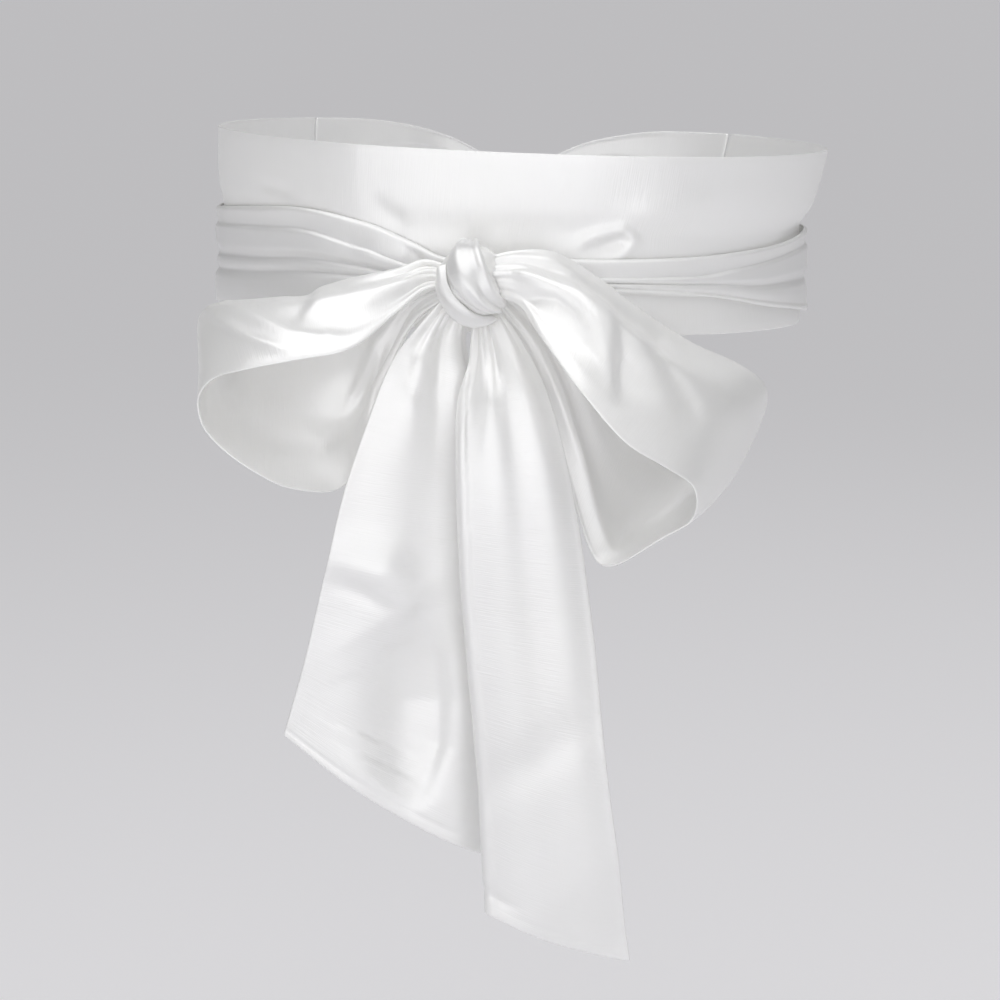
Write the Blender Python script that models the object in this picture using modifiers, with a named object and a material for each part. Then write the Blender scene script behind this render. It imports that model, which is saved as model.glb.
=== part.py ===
"""Ribbon belt: one wide satin sash worn round a waist and tied in a bow at the front.

The sash lies flat over the front as a panel, its two ties cross at the back, come round the
sides over the panel's lower half and are knotted into a bow with two loops and two tails.
Every stretch that shows is its own thin wall. Sizes are in millimetres until they are placed.

The frame: +Z up, the front faces -Y, and the origin is the middle of the waist that is held.
"""

import math

import bmesh
import bpy
from mathutils import Vector

MM = 0.001

# The cloth
WALL = 1.2
GAP = 0.4
LAYER = WALL + GAP

# The band as it is worn, before the tilt: heights are measured from the middle of the waist
PANEL_TOP = 38.0
PANEL_BOTTOM = -35.0
SEAM_ANGLE = 135.0
BELT_TILT = 0.039

# The knot's core, an egg of packed cloth
KNOT_CENTRE = Vector((-17.0, -109.5, -13.0))
KNOT_HALF = Vector((14.0, 13.5, 16.0))
CORE_SEGMENTS = 20
CORE_RINGS = 12
BAND_CROWN = 1.4
UNDERWRAP_CROWN = 1.2

# How many faces each piece of cloth has along it and across it
GRIDS = {
    "front_panel": (46, 9),
    "left_tie": (36, 16),
    "right_tie": (36, 12),
    "left_loop": (38, 14),
    "right_loop": (38, 14),
    "left_tail": (18, 10),
    "right_tail": (18, 18),
    "knot_band": (14, 4),
    "knot_underwrap": (12, 4),
}

SATIN = (0.92, 0.915, 0.90, 1.0)
SATIN_ROUGHNESS = 0.35


def table(columns, *rows):
    """Rows of numbers as dictionaries with named columns."""
    names = columns.split()
    return [dict(zip(names, row)) for row in rows]


# The waist that the belt is worn on: an oval that is drawn in where the ties pull
WAIST = table(
    "height half_width half_front half_back middle_x",
    (-45.0, 124.0, 91.5, 86.0, -1.0),
    (-32.0, 122.5, 90.5, 85.5, -1.0),
    (-12.0, 121.0, 89.5, 85.0, -1.0),
    (4.0, 121.5, 89.5, 85.0, -1.0),
    (16.0, 125.5, 91.0, 86.5, 1.0),
    (50.0, 130.0, 93.0, 89.0, 5.5),
)

# Each tie, from its seam at the back, across the other tie, round the side and into the knot.
# angle: degrees round the waist from the front, onwards past the back; lift: off the panel;
# fold: half the depth of the pleats
LEFT_TIE = table(
    "angle top bottom lift fold",
    (135.25, 38.0, -35.0, 0.0, 0.0),
    (150.0, 37.0, -24.0, 0.0, 0.4),
    (165.0, 31.0, -4.0, 0.0, 1.0),
    (180.0, 14.5, -14.0, 0.0, 1.1),
    (192.0, 1.5, -28.0, 0.0, 1.1),
    (200.0, -1.0, -33.0, 1.5, 1.1),
    (208.0, -0.5, -34.5, 3.0, 1.0),
    (226.0, 2.0, -36.0, 2.1, 0.9),
    (270.0, 4.0, -36.0, 2.1, 0.7),
    (300.0, 8.0, -34.0, 2.0, 0.9),
    (316.0, 10.5, -31.0, 1.9, 1.3),
    (331.0, 7.0, -26.0, 1.8, 1.4),
    (341.0, 0.0, -22.0, 2.0, 1.2),
    (347.0, -5.0, -20.0, 3.4, 1.0),
    (352.0, -6.0, -19.0, 4.9, 0.9),
)
RIGHT_TIE = table(
    "angle top bottom lift fold",
    (135.25, 38.0, -35.0, 0.0, 0.0),
    (143.0, 37.8, -29.0, 0.0, 0.2),
    (150.0, 37.0, -12.0, 0.0, 0.6),
    (157.0, 35.0, 1.0, 0.5, 1.0),
    (166.0, 30.0, 3.5, 4.0, 1.1),
    (180.0, 14.5, -14.0, 4.2, 1.1),
    (195.0, -2.0, -31.0, 3.8, 1.1),
    (212.0, -1.0, -34.0, 2.8, 1.0),
    (226.0, 2.0, -34.0, 2.1, 0.9),
    (270.0, 4.5, -31.0, 2.1, 0.7),
    (300.0, 0.0, -25.0, 2.0, 0.9),
    (322.0, -3.0, -19.0, 1.8, 1.3),
    (340.0, -4.0, -18.0, 1.8, 1.2),
    (353.0, -4.0, -18.0, 2.0, 1.0),
    (360.0, -5.0, -18.0, 3.4, 0.9),
    (365.0, -5.5, -18.0, 5.2, 0.9),
)
LEFT_TIE_FOLDS = 4
RIGHT_TIE_FOLDS = 3

# Each loop, from the knot out along its upper strand, round its end and back under to the knot.
# back_*: the edge next to the waist; front_*: the edge next to the viewer; puff: how far the
# middle of the width stands outwards; fold: half the depth of the gathers; crease: how far a
# sharp fold stands outwards, and at what share of the width from the back edge it runs
LOOP_COLUMNS = "back_x back_y back_z front_x front_y front_z puff fold crease crease_at"
LEFT_LOOP = table(
    LOOP_COLUMNS,
    (-31.2, -105, -4, -31.4, -110.5, -13.5, 0, 0.3, 0, 0.9),
    (-36, -105, -4, -36, -113, -15, 1, 0.6, 0, 0.9),
    (-46, -105, -8, -46, -124, -23, 5, 1.4, 0, 0.9),
    (-64, -99, -13, -62, -143, -35, 9, 1.8, 1, 0.9),
    (-88, -87, -21, -82, -148, -39, 9, 1.2, 5, 0.84),
    (-112, -73, -26, -104, -146, -43, 5, 0.4, 8, 0.5),
    (-125, -62, -31, -118, -140, -47, 2, 0, 4, 0.16),
    (-127, -56, -43, -124, -135, -56, 1, 0, 0, 0.1),
    (-122, -58, -51, -121, -134, -68, 3, 0, 0, 0.5),
    (-107, -66, -49, -104, -133, -83, 7, 0, 0, 0.5),
    (-88, -75, -42, -86, -126, -92, 9, 0.5, 0, 0.5),
    (-70, -84, -36, -68, -113, -92, 9, 1.4, 0, 0.5),
    (-54, -91, -28, -57, -106, -62, 4, 1.8, 0, 0.5),
    (-41, -96, -17, -42, -104, -32, 1, 0.8, 0, 0.5),
    (-31.4, -99.5, -9, -31.4, -104, -21, 0, 0.3, 0, 0.5),
)
RIGHT_LOOP = table(
    LOOP_COLUMNS,
    (-9.5, -113, 1.5, -3.5, -118, -16, 5.4, 0.3, 0, 0.5),
    (0.5, -110.5, 0, 2, -122, -21, 6, 0.9, 0, 0.5),
    (16, -106, -3, 10, -134, -33, 8, 2.0, 0, 0.5),
    (42, -94, -20, 24, -146, -52, 14, 2.4, 0, 0.5),
    (70, -79, -40, 42, -148, -71, 14, 1.2, 0, 0.5),
    (94, -67, -52, 60, -143, -82, 9, 0.3, 0, 0.5),
    (104, -61, -63, 70, -137, -90, 3, 0, 0, 0.5),
    (98, -62, -82, 70, -132, -103, 3, 0, 0, 0.8),
    (81, -68, -94, 58, -127, -112, 5, 0, 0, 0.84),
    (62, -76, -92, 38.5, -117, -125, 6, 0.2, -2, 0.86),
    (46, -84, -76, 30.5, -112, -120, 5, 0.6, -4.5, 0.8),
    (32, -90, -54, 20, -108, -84, 3, 1.2, -4.5, 0.72),
    (13, -95, -24, 7, -105, -44, 1, 1.0, -2, 0.66),
    (-2.6, -99.5, -9, -2.6, -105, -22, 0, 0.3, 0, 0.6),
)
LOOP_FOLDS = 2

# Each tail, from the knot down to its slanting cut end. roll: the width that is turned behind
# along the left edge
TAIL_COLUMNS = "left_x left_y left_z right_x right_y right_z puff fold roll"
LEFT_TAIL = table(
    TAIL_COLUMNS,
    (-32, -108.5, -21, -20.5, -105.5, -30.5, 0, 0.3, 0),
    (-38, -114, -29, -19, -105, -38, 1, 0.8, 0),
    (-48, -120, -42, -14, -104, -54, 3, 2.0, 0),
    (-58, -122, -66, -6, -102, -78, 4, 2.2, 0),
    (-68, -122, -95, 0, -101, -106, 4, 2.0, 0),
    (-76, -121, -128, 2, -101, -144, 4, 1.8, 0),
    (-84, -120, -162, 1, -101, -190, 4, 1.8, 0),
    (-93, -119, -194, -1, -101, -252, 4, 1.8, 0),
)
RIGHT_TAIL = table(
    TAIL_COLUMNS,
    (-15, -111.5, -29.6, -6, -111.5, -25.6, 0, 0.3, 0),
    (-18, -115, -40, 2, -114, -34, 1, 0.6, 0),
    (-19, -125, -62, 14, -119, -58, 3, 1.8, 8),
    (-19, -129, -90, 23, -120, -94, 3, 1.8, 20),
    (-17, -129, -138, 31, -120, -146, 2, 1.2, 26),
    (-12, -128, -198, 38, -120, -214, 2, 0.8, 24),
    (-8, -126, -268, 49, -115, -291, 2, 0.6, 20),
)
TAIL_FOLDS = 2
ROLL_RADIUS = 3.5
ROLL_FOLD_SHARE = 0.4
LEFT_TAIL_SAG = 6.5
RIGHT_TAIL_SAG = 2.5
SAG_POWER = 3

# The stretches wound over the knot, in degrees over its core: 90 at the top, 0 at the front.
# The band runs down over the front; the underwrap comes from its left and tucks in below it
KNOT_BAND = table(
    "turn middle_x half_width",
    (128.0, -19.0, 5.0),
    (95.0, -18.5, 6.0),
    (60.0, -18.5, 7.5),
    (20.0, -18.0, 7.8),
    (-8.0, -14.5, 7.6),
    (-30.0, -10.5, 5.0),
    (-42.0, -8.5, 3.0),
)
KNOT_UNDERWRAP = table(
    "inner_x inner_turn outer_x outer_turn",
    (-26.8, 50.0, -30.2, 38.0),
    (-26.6, 22.0, -30.5, 4.0),
    (-25.6, 3.0, -29.8, -28.0),
    (-22.8, -15.0, -26.5, -52.0),
    (-18.8, -29.0, -20.0, -66.0),
    (-14.2, -42.0, -13.0, -68.0),
    (-9.5, -53.0, -7.5, -66.0),
)

# How far along a strand, each way, its slope is measured
SLOPE_STEP = 0.004


def blended(rows, key, places, at, smooth=True):
    """A column's value at a place between rows: an even curve, or one that never overshoots."""
    n = len(rows) - 1
    i = 0
    while i < n - 1 and at > places[i + 1]:
        i += 1
    span = places[i + 1] - places[i]
    t = min(1.0, max(0.0, (at - places[i]) / span))
    a, b = rows[i][key], rows[i + 1][key]

    def slope(j):
        if j == 0 or j == n:
            near = 1 if j == 0 else n
            return (rows[near][key] - rows[near - 1][key]) / (places[near] - places[near - 1])
        before = (rows[j][key] - rows[j - 1][key]) / (places[j] - places[j - 1])
        after = (rows[j + 1][key] - rows[j][key]) / (places[j + 1] - places[j])
        if smooth:
            return (rows[j + 1][key] - rows[j - 1][key]) / (places[j + 1] - places[j - 1])
        return 0.0 if before * after <= 0 else 2 * before * after / (before + after)

    start, end = slope(i) * span, slope(i + 1) * span
    return (
        a * (2 * t**3 - 3 * t**2 + 1)
        + start * (t**3 - 2 * t**2 + t)
        + b * (3 * t**2 - 2 * t**3)
        + end * (t**3 - t**2)
    )


def waist_size(key, height):
    places = [row["height"] for row in WAIST]
    return blended(WAIST, key, places, height, smooth=False)


def waist_point(angle, height, out):
    """A point on the waist, moved out from it. Angle 0 is the front and 90 the viewer's right."""
    turn = math.radians(angle)
    across = waist_size("half_width", height)
    deep = waist_size("half_front" if math.cos(turn) > 0 else "half_back", height)
    outwards = Vector((math.sin(turn) / across, -math.cos(turn) / deep, 0)).normalized()
    x = waist_size("middle_x", height) + across * math.sin(turn) + outwards.x * out
    y = -deep * math.cos(turn) + outwards.y * out
    return Vector((x, y, height - BELT_TILT * x))


def knot_point(x, turn, out):
    """A point on the knot's core at this x, moved out square to its face."""
    share = (x - KNOT_CENTRE.x) / KNOT_HALF.x
    round_it = math.sqrt(max(0.0, 1 - share * share))
    a = math.radians(turn)
    unit = Vector((share, -round_it * math.cos(a), round_it * math.sin(a)))
    square = Vector([c / half for c, half in zip(unit, KNOT_HALF)]).normalized()
    return KNOT_CENTRE + unit * KNOT_HALF + square * out


def satin(name):
    material = bpy.data.materials.new(name + "_satin")
    material.use_nodes = True
    shader = material.node_tree.nodes["Principled BSDF"]
    shader.inputs["Base Color"].default_value = SATIN
    shader.inputs["Roughness"].default_value = SATIN_ROUGHNESS
    shader.inputs["Metallic"].default_value = 0.0
    return material


def collection(name):
    made = bpy.data.collections.new(name)
    bpy.context.scene.collection.children.link(made)
    return made


def add_object(name, bm, home):
    mesh = bpy.data.meshes.new(name)
    bm.to_mesh(mesh)
    bm.free()
    mesh.materials.append(satin(name))
    mesh.shade_smooth()
    obj = bpy.data.objects.new(name, mesh)
    home.objects.link(obj)
    return obj


def cloth(name, place, home):
    """A grid of cloth whose points place(u, v) puts in millimetres, given the wall's thickness."""
    along, across = GRIDS[name]
    bm = bmesh.new()
    bmesh.ops.create_grid(bm, x_segments=along, y_segments=across, size=0.5)
    for vertex in bm.verts:
        vertex.co = place(vertex.co.x + 0.5, vertex.co.y + 0.5) * MM
    obj = add_object(name, bm, home)
    wall = obj.modifiers.new("wall", "SOLIDIFY")
    wall.thickness = WALL * MM
    wall.offset = 0
    return obj


def panel_place(u, v):
    """The panel over the front, drawn in under the ties as the waist's heights are."""
    height = PANEL_TOP + (PANEL_BOTTOM - PANEL_TOP) * v
    return waist_point(SEAM_ANGLE * (2 * u - 1), height, 0)


def tie_place(rows, folds, side):
    """A tie round the waist, pleated along its length. Side 1 starts on the viewer's right."""
    places = [row["angle"] for row in rows]

    def place(u, v):
        angle = places[0] + (places[-1] - places[0]) * u
        top, bottom, lift, fold = (
            blended(rows, key, places, angle, smooth=False)
            for key in ("top", "bottom", "lift", "fold")
        )
        ridge = fold * (1 - math.cos(2 * math.pi * folds * v))
        return waist_point(side * angle, top + (bottom - top) * v, lift + ridge)

    return place


def edge_points(rows, names):
    return [Vector([row[names + axis] for axis in ("_x", "_y", "_z")]) for row in rows]


def row_places(rows, first, second):
    """How far along the middle of the ribbon each row lies, from 0 to 1."""
    middle = [(a + b) / 2 for a, b in zip(edge_points(rows, first), edge_points(rows, second))]
    places = [0.0]
    for a, b in zip(middle, middle[1:]):
        places.append(places[-1] + (b - a).length)
    return [p / places[-1] for p in places]


def spot(rows, places, names, at):
    return Vector([blended(rows, names + axis, places, at) for axis in ("_x", "_y", "_z")])


def outward(rows, places, first, second, at, side):
    """The direction square to the ribbon's face there, on the side that bulges."""
    ends = [min(1.0, max(0.0, at + d)) for d in (-SLOPE_STEP, SLOPE_STEP)]
    before, after = (
        spot(rows, places, first, e) + spot(rows, places, second, e) for e in ends
    )
    width = spot(rows, places, second, at) - spot(rows, places, first, at)
    return (after - before).cross(width).normalized() * side


def creased(share, at):
    """A straight rise from 0 to 1 at the crease and a straight fall after it."""
    return share / at if share < at else (1 - share) / (1 - at)


def loop_place(rows, side):
    """A bow loop: each section runs from its back edge to its front edge, puffed and gathered."""
    places = row_places(rows, "back", "front")

    def place(u, v):
        back, front = (spot(rows, places, name, u) for name in ("back", "front"))
        normal = outward(rows, places, "back", "front", u, side)
        puff = blended(rows, "puff", places, u) * math.sin(math.pi * v)
        gather = blended(rows, "fold", places, u, False) * math.cos(2 * math.pi * LOOP_FOLDS * v)
        crease_at = blended(rows, "crease_at", places, u, False)
        crease = blended(rows, "crease", places, u, False) * creased(v, crease_at)
        return back.lerp(front, v) + normal * (puff + gather + crease)

    return place


def rolled(v, width, roll):
    """Where a share v of a section lies: its share across the front, and how far behind."""
    run = (width + roll) * v - roll
    if run >= 0:
        return run / width, 0.0
    turn = -run / ROLL_RADIUS
    if turn < math.pi:
        return -ROLL_RADIUS * math.sin(turn) / width, ROLL_RADIUS * (1 - math.cos(turn))
    return (-run - math.pi * ROLL_RADIUS) / width, 2 * ROLL_RADIUS


def tail_place(rows, sag_depth):
    """A hanging tail: sections run from its left edge to its right edge, down to the cut end."""
    places = row_places(rows, "left", "right")

    def place(u, v):
        left, right = (spot(rows, places, name, u) for name in ("left", "right"))
        width = (right - left).length
        across, behind = rolled(v, width, max(0.0, blended(rows, "roll", places, u, False)))
        shown = min(1.0, max(0.0, across))
        normal = outward(rows, places, "left", "right", u, 1)
        puff = blended(rows, "puff", places, u) * math.sin(math.pi * shown)
        fold = blended(rows, "fold", places, u, False) * (1 if behind == 0 else ROLL_FOLD_SHARE)
        wave = -fold * math.cos(2 * math.pi * TAIL_FOLDS * shown)
        sag = sag_depth * math.sin(math.pi * shown) * u**SAG_POWER
        point = left + (right - left) * across + normal * (puff + wave - behind)
        return point - Vector((0, 0, sag))

    return place


def knot_core(home):
    bm = bmesh.new()
    bmesh.ops.create_uvsphere(
        bm, u_segments=CORE_SEGMENTS, v_segments=CORE_RINGS, radius=1.0
    )
    for vertex in bm.verts:
        vertex.co = (KNOT_CENTRE + vertex.co * KNOT_HALF) * MM
    return add_object("knot_core", bm, home)


def band_place(u, v):
    """The stretch wound over the knot's front, down to where it tucks in."""
    places = [KNOT_BAND[0]["turn"] - row["turn"] for row in KNOT_BAND]
    at = places[-1] * u
    middle, half = (blended(KNOT_BAND, key, places, at) for key in ("middle_x", "half_width"))
    out = LAYER - WALL / 2 + BAND_CROWN * math.sin(math.pi * v)
    return knot_point(middle + half * (2 * v - 1), KNOT_BAND[0]["turn"] - at, out)


def underwrap_place(u, v):
    """The stretch beside and below the band, from its left down to where both tuck in."""
    places = [i / (len(KNOT_UNDERWRAP) - 1) for i in range(len(KNOT_UNDERWRAP))]
    inner_x, inner_turn, outer_x, outer_turn = (
        blended(KNOT_UNDERWRAP, key, places, u) for key in KNOT_UNDERWRAP[0]
    )
    out = LAYER - WALL / 2 + UNDERWRAP_CROWN * math.sin(math.pi * v)
    x = inner_x + (outer_x - inner_x) * v
    return knot_point(x, inner_turn + (outer_turn - inner_turn) * v, out)


def main():
    for obj in list(bpy.data.objects):
        bpy.data.objects.remove(obj)
    home = collection("ribbon_belt")
    cloth("front_panel", panel_place, home)
    cloth("left_tie", tie_place(LEFT_TIE, LEFT_TIE_FOLDS, 1), home)
    cloth("right_tie", tie_place(RIGHT_TIE, RIGHT_TIE_FOLDS, -1), home)
    cloth("left_loop", loop_place(LEFT_LOOP, 1), home)
    cloth("right_loop", loop_place(RIGHT_LOOP, -1), home)
    cloth("left_tail", tail_place(LEFT_TAIL, LEFT_TAIL_SAG), home)
    cloth("right_tail", tail_place(RIGHT_TAIL, RIGHT_TAIL_SAG), home)
    knot_core(home)
    cloth("knot_band", band_place, home)
    cloth("knot_underwrap", underwrap_place, home)


main()
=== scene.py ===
"""Looks of the ribbon belt: fine satin for each stretch of the sash, its knot, hems and studio.

Each piece of cloth keeps the form of the solid that it stands for, and adds the folds, creases
and hems that are placed below. Lengths in the tables are in millimetres, in the frame
of the model: +Z up, the front faces -Y, and the origin is the middle of the waist. The studio's
places are in metres.
"""

import math
from functools import lru_cache

import bmesh
import bpy
from mathutils import Matrix, Vector, noise


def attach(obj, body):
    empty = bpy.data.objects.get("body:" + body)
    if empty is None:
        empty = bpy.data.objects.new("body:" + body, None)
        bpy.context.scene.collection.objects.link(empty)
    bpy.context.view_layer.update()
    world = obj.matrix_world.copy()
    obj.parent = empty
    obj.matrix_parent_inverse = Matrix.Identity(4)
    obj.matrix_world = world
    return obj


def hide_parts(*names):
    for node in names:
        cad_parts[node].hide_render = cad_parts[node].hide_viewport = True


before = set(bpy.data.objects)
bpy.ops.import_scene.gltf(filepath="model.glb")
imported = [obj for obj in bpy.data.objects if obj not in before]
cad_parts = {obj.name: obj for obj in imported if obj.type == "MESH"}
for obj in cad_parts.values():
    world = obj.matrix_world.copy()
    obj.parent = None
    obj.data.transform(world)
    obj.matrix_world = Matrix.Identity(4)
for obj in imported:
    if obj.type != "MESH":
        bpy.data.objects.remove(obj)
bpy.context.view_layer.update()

bl_info = {
    "name": "Ribbon belt",
    "version": (1, 0, 0),
    "blender": (4, 5, 0),
    "location": "3D View > Sidebar > Ribbon belt",
    "description": "Builds a satin sash that is tied in a bow, and the studio that shows it",
    "category": "Add Mesh",
}

MM = 0.001
SATIN = "woven satin"

# The seams at the back, where the panel's ends meet the ties, in degrees from the front
SEAM_ANGLE = 135.0
# How far the belt drops for each millimetre towards +X
BELT_TILT = 0.039

# The knot's core, an egg of packed cloth
KNOT_CENTRE = Vector((-17.0, -109.5, -13.0))
KNOT_HALF = Vector((14.0, 13.5, 16.0))


def table(columns, *rows):
    """Rows of numbers as dictionaries with named columns."""
    names = columns.split()
    return [dict(zip(names, row)) for row in rows]


# The waist that the belt is worn on: an oval that is drawn in where the ties pull
WAIST = table(
    "height half_width half_front half_back middle_x",
    (-45.0, 124.0, 91.5, 86.0, -1.0),
    (-32.0, 122.5, 90.5, 85.5, -1.0),
    (-12.0, 121.0, 89.5, 85.0, -1.0),
    (4.0, 121.5, 89.5, 85.0, -1.0),
    (16.0, 125.5, 91.0, 86.5, 1.0),
    (50.0, 130.0, 93.0, 89.0, 5.5),
)

# Each tie, from its seam at the back, across the other tie, round the side and into the knot.
# angle: degrees round the waist from the front; lift: off the panel; fold: depth of the pleats
TIE_COLUMNS = "angle top bottom lift fold"
LEFT_TIE = table(
    TIE_COLUMNS,
    (135.05, 38.0, -35.0, 0.0, 0.0),
    (150.0, 37.0, -24.0, 0.0, 0.6),
    (165.0, 31.0, -4.0, 0.0, 1.4),
    (180.0, 14.5, -14.0, 0.0, 1.5),
    (192.0, 1.5, -28.0, 0.0, 1.5),
    (200.0, -1.0, -33.0, 1.5, 1.5),
    (208.0, -0.5, -34.5, 3.0, 1.5),
    (226.0, 2.0, -36.0, 2.1, 1.7),
    (270.0, 4.0, -36.0, 2.1, 1.7),
    (300.0, 8.0, -34.0, 2.0, 1.8),
    (316.0, 10.5, -31.0, 1.9, 2.0),
    (331.0, 7.0, -26.0, 1.8, 2.0),
    (341.0, 0.0, -22.0, 2.0, 1.7),
    (347.0, -5.0, -20.0, 3.4, 1.4),
    (352.0, -6.0, -19.0, 4.9, 1.3),
)
RIGHT_TIE = table(
    TIE_COLUMNS,
    (135.05, 38.0, -35.0, 0.0, 0.0),
    (143.0, 37.8, -29.0, 0.0, 0.3),
    (150.0, 37.0, -12.0, 0.0, 0.8),
    (157.0, 35.0, 1.0, 0.5, 1.4),
    (166.0, 30.0, 3.5, 4.0, 1.5),
    (180.0, 14.5, -14.0, 4.2, 1.5),
    (195.0, -2.0, -31.0, 3.8, 1.5),
    (212.0, -1.0, -34.0, 2.8, 1.7),
    (226.0, 2.0, -34.0, 2.1, 1.7),
    (270.0, 4.5, -31.0, 2.1, 1.6),
    (300.0, 0.0, -25.0, 2.0, 1.8),
    (322.0, -3.0, -19.0, 1.8, 1.8),
    (340.0, -4.0, -18.0, 1.8, 1.7),
    (353.0, -4.0, -18.0, 2.0, 1.4),
    (360.0, -5.0, -18.0, 3.4, 1.3),
    (365.0, -5.5, -18.0, 5.2, 1.3),
)
# Where the ties are folded over: lines that run along each one, as shares of its height
TIE_LINE_COLUMNS = "angle step crease lower_crease"
LEFT_TIE_LINES = table(
    TIE_LINE_COLUMNS,
    (150.0, 0.22, 0.50, 0.72),
    (226.0, 0.20, 0.52, 0.68),
    (282.0, 0.18, 0.49, 0.64),
    (316.0, 0.22, 0.50, 0.62),
    (331.0, 0.34, 0.56, 0.66),
    (341.0, 0.44, 0.62, 0.74),
    (352.0, 0.42, 0.62, 0.76),
)
RIGHT_TIE_LINES = table(
    TIE_LINE_COLUMNS,
    (150.0, 0.24, 0.50, 0.84),
    (226.0, 0.20, 0.55, 0.85),
    (287.0, 0.18, 0.59, 0.94),
    (311.0, 0.33, 0.68, 0.94),
    (322.0, 0.50, 0.70, 0.92),
    (341.0, 0.53, 0.67, 0.84),
    (365.0, 0.50, 0.66, 0.82),
)
# The swell of cloth between each two lines. start, end: its height there as a share of the
# crown; rise, drop: the shares of its width in which it climbs and falls
SWELL_COLUMNS = "crown start rise end drop"
LEFT_TIE_SWELLS = table(
    SWELL_COLUMNS,
    (0.80, 0.00, 0.15, 0.50, 1.00),
    (1.10, 0.35, 0.07, 0.15, 0.35),
    (0.80, 0.16, 0.30, 0.10, 0.30),
    (0.85, 0.10, 0.25, 0.20, 0.60),
)
RIGHT_TIE_SWELLS = table(
    SWELL_COLUMNS,
    (0.85, 0.00, 0.12, 0.40, 1.00),
    (1.00, 0.34, 0.09, 0.20, 0.35),
    (0.80, 0.25, 0.30, 0.45, 0.50),
    (0.70, 0.52, 0.30, 0.20, 0.60),
)
# How unevenly the crowns rise along a tie, and how often
CROWN_CHANGE = 0.25
CROWN_WAVES = 9.0

# Each loop, from the knot out along its upper strand, round its end and back under to the knot.
# back_*: the edge next to the waist; front_*: the edge next to the viewer; puff: how far the
# middle of the width stands outwards; fold: half the depth of the gathers; crease: how far a
# sharp fold stands outwards, and at what share of the width from the back edge it runs
LOOP_COLUMNS = "back_x back_y back_z front_x front_y front_z puff fold crease crease_at"
LEFT_LOOP = table(
    LOOP_COLUMNS,
    (-26, -106, -6, -26, -109, -13.5, 0, 0.3, 0, 0.9),
    (-36, -105, -4, -36, -113, -15, 1, 0.6, 0, 0.9),
    (-46, -105, -8, -46, -124, -23, 5, 1.4, 0, 0.9),
    (-64, -99, -13, -62, -143, -35, 9, 1.8, 1, 0.9),
    (-88, -87, -21, -82, -148, -39, 9, 1.2, 5, 0.84),
    (-112, -73, -26, -104, -146, -43, 5, 0.4, 8, 0.5),
    (-125, -62, -31, -118, -140, -47, 2, 0, 4, 0.16),
    (-127, -56, -43, -124, -135, -56, 1, 0, 0, 0.1),
    (-122, -58, -51, -121, -134, -68, 3, 0, 0, 0.5),
    (-107, -66, -49, -104, -133, -83, 7, 0, 0, 0.5),
    (-88, -75, -42, -86, -126, -92, 9, 0.5, 0, 0.5),
    (-70, -84, -36, -68, -113, -92, 9, 1.4, 0, 0.5),
    (-54, -91, -28, -57, -106, -62, 4, 1.8, 0, 0.5),
    (-41, -96, -17, -42, -104, -32, 1, 0.8, 0, 0.5),
    (-26, -102, -11, -26, -105, -19, 0, 0.3, 0, 0.5),
)
RIGHT_LOOP = table(
    LOOP_COLUMNS,
    (-13, -111, -2, -10, -113, -16, 5.4, 0.3, 0, 0.5),
    (0.5, -110.5, 0, 2, -122, -21, 6, 0.9, 0, 0.5),
    (16, -106, -3, 10, -134, -33, 8, 2.0, 0, 0.5),
    (42, -94, -20, 24, -146, -52, 14, 2.4, 0, 0.5),
    (70, -79, -40, 42, -148, -71, 14, 1.2, 0, 0.5),
    (94, -67, -52, 60, -143, -82, 9, 0.3, 0, 0.5),
    (104, -61, -63, 70, -137, -90, 3, 0, 0, 0.5),
    (98, -62, -82, 70, -132, -103, 3, 0, 0, 0.8),
    (81, -68, -94, 58, -127, -112, 5, 0, 0, 0.84),
    (62, -76, -92, 38.5, -117, -125, 6, 0.2, -2, 0.86),
    (46, -84, -76, 30.5, -112, -120, 5, 0.6, -4.5, 0.8),
    (32, -90, -54, 20, -108, -84, 3, 1.2, -4.5, 0.72),
    (13, -95, -24, 7, -105, -44, 1, 1.0, -2, 0.66),
    (-9, -102, -10, -9, -106, -19, 0, 0.3, 0, 0.6),
)
# The gathers across each loop and each tail
LOOP_GATHERS = 2
TAIL_GATHERS = 2
# The upper strand ends at the first share of a loop's length, and the lower one shows from the
# second
UPPER_STRAND_END = 0.49
LOWER_STRAND_START = 0.55

# Each tail, from the knot down to its slanting cut end. roll: the width that is turned behind
TAIL_COLUMNS = "left_x left_y left_z right_x right_y right_z puff fold roll"
LEFT_TAIL = table(
    TAIL_COLUMNS,
    (-27, -109, -17, -18, -106.5, -24, 0, 0.3, 0),
    (-38, -114, -29, -19, -105, -38, 1, 0.8, 0),
    (-48, -120, -42, -14, -104, -54, 3, 1.6, 0),
    (-58, -122, -66, -6, -102, -78, 4, 1.3, 0),
    (-68, -122, -95, 0, -101, -106, 4, 0.9, 0),
    (-76, -121, -128, 2, -101, -144, 4, 0.8, 0),
    (-84, -120, -162, 1, -101, -190, 4, 0.9, 0),
    (-93, -119, -194, -1, -101, -252, 4, 1.2, 0),
)
RIGHT_TAIL = table(
    TAIL_COLUMNS,
    (-15.5, -110, -22, -9, -110, -20, 0, 0.3, 0),
    (-18, -115, -40, 2, -114, -34, 1, 0.6, 0),
    (-19, -125, -62, 14, -119, -58, 3, 1.1, 8),
    (-19, -129, -90, 23, -120, -94, 3, 0.8, 20),
    (-17, -129, -138, 31, -120, -146, 2, 0.5, 26),
    (-12, -128, -198, 38, -120, -214, 2, 0.4, 24),
    (-8, -126, -268, 49, -115, -291, 2, 0.3, 20),
)
ROLL_RADIUS = 3.5
# How much of the gathers' depth is left where the edge is turned behind
ROLLED_GATHERS = 0.4
# How far the middle of each cut end hangs below its corners
LEFT_TAIL_SAG = 6.5
RIGHT_TAIL_SAG = 2.5
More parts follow.
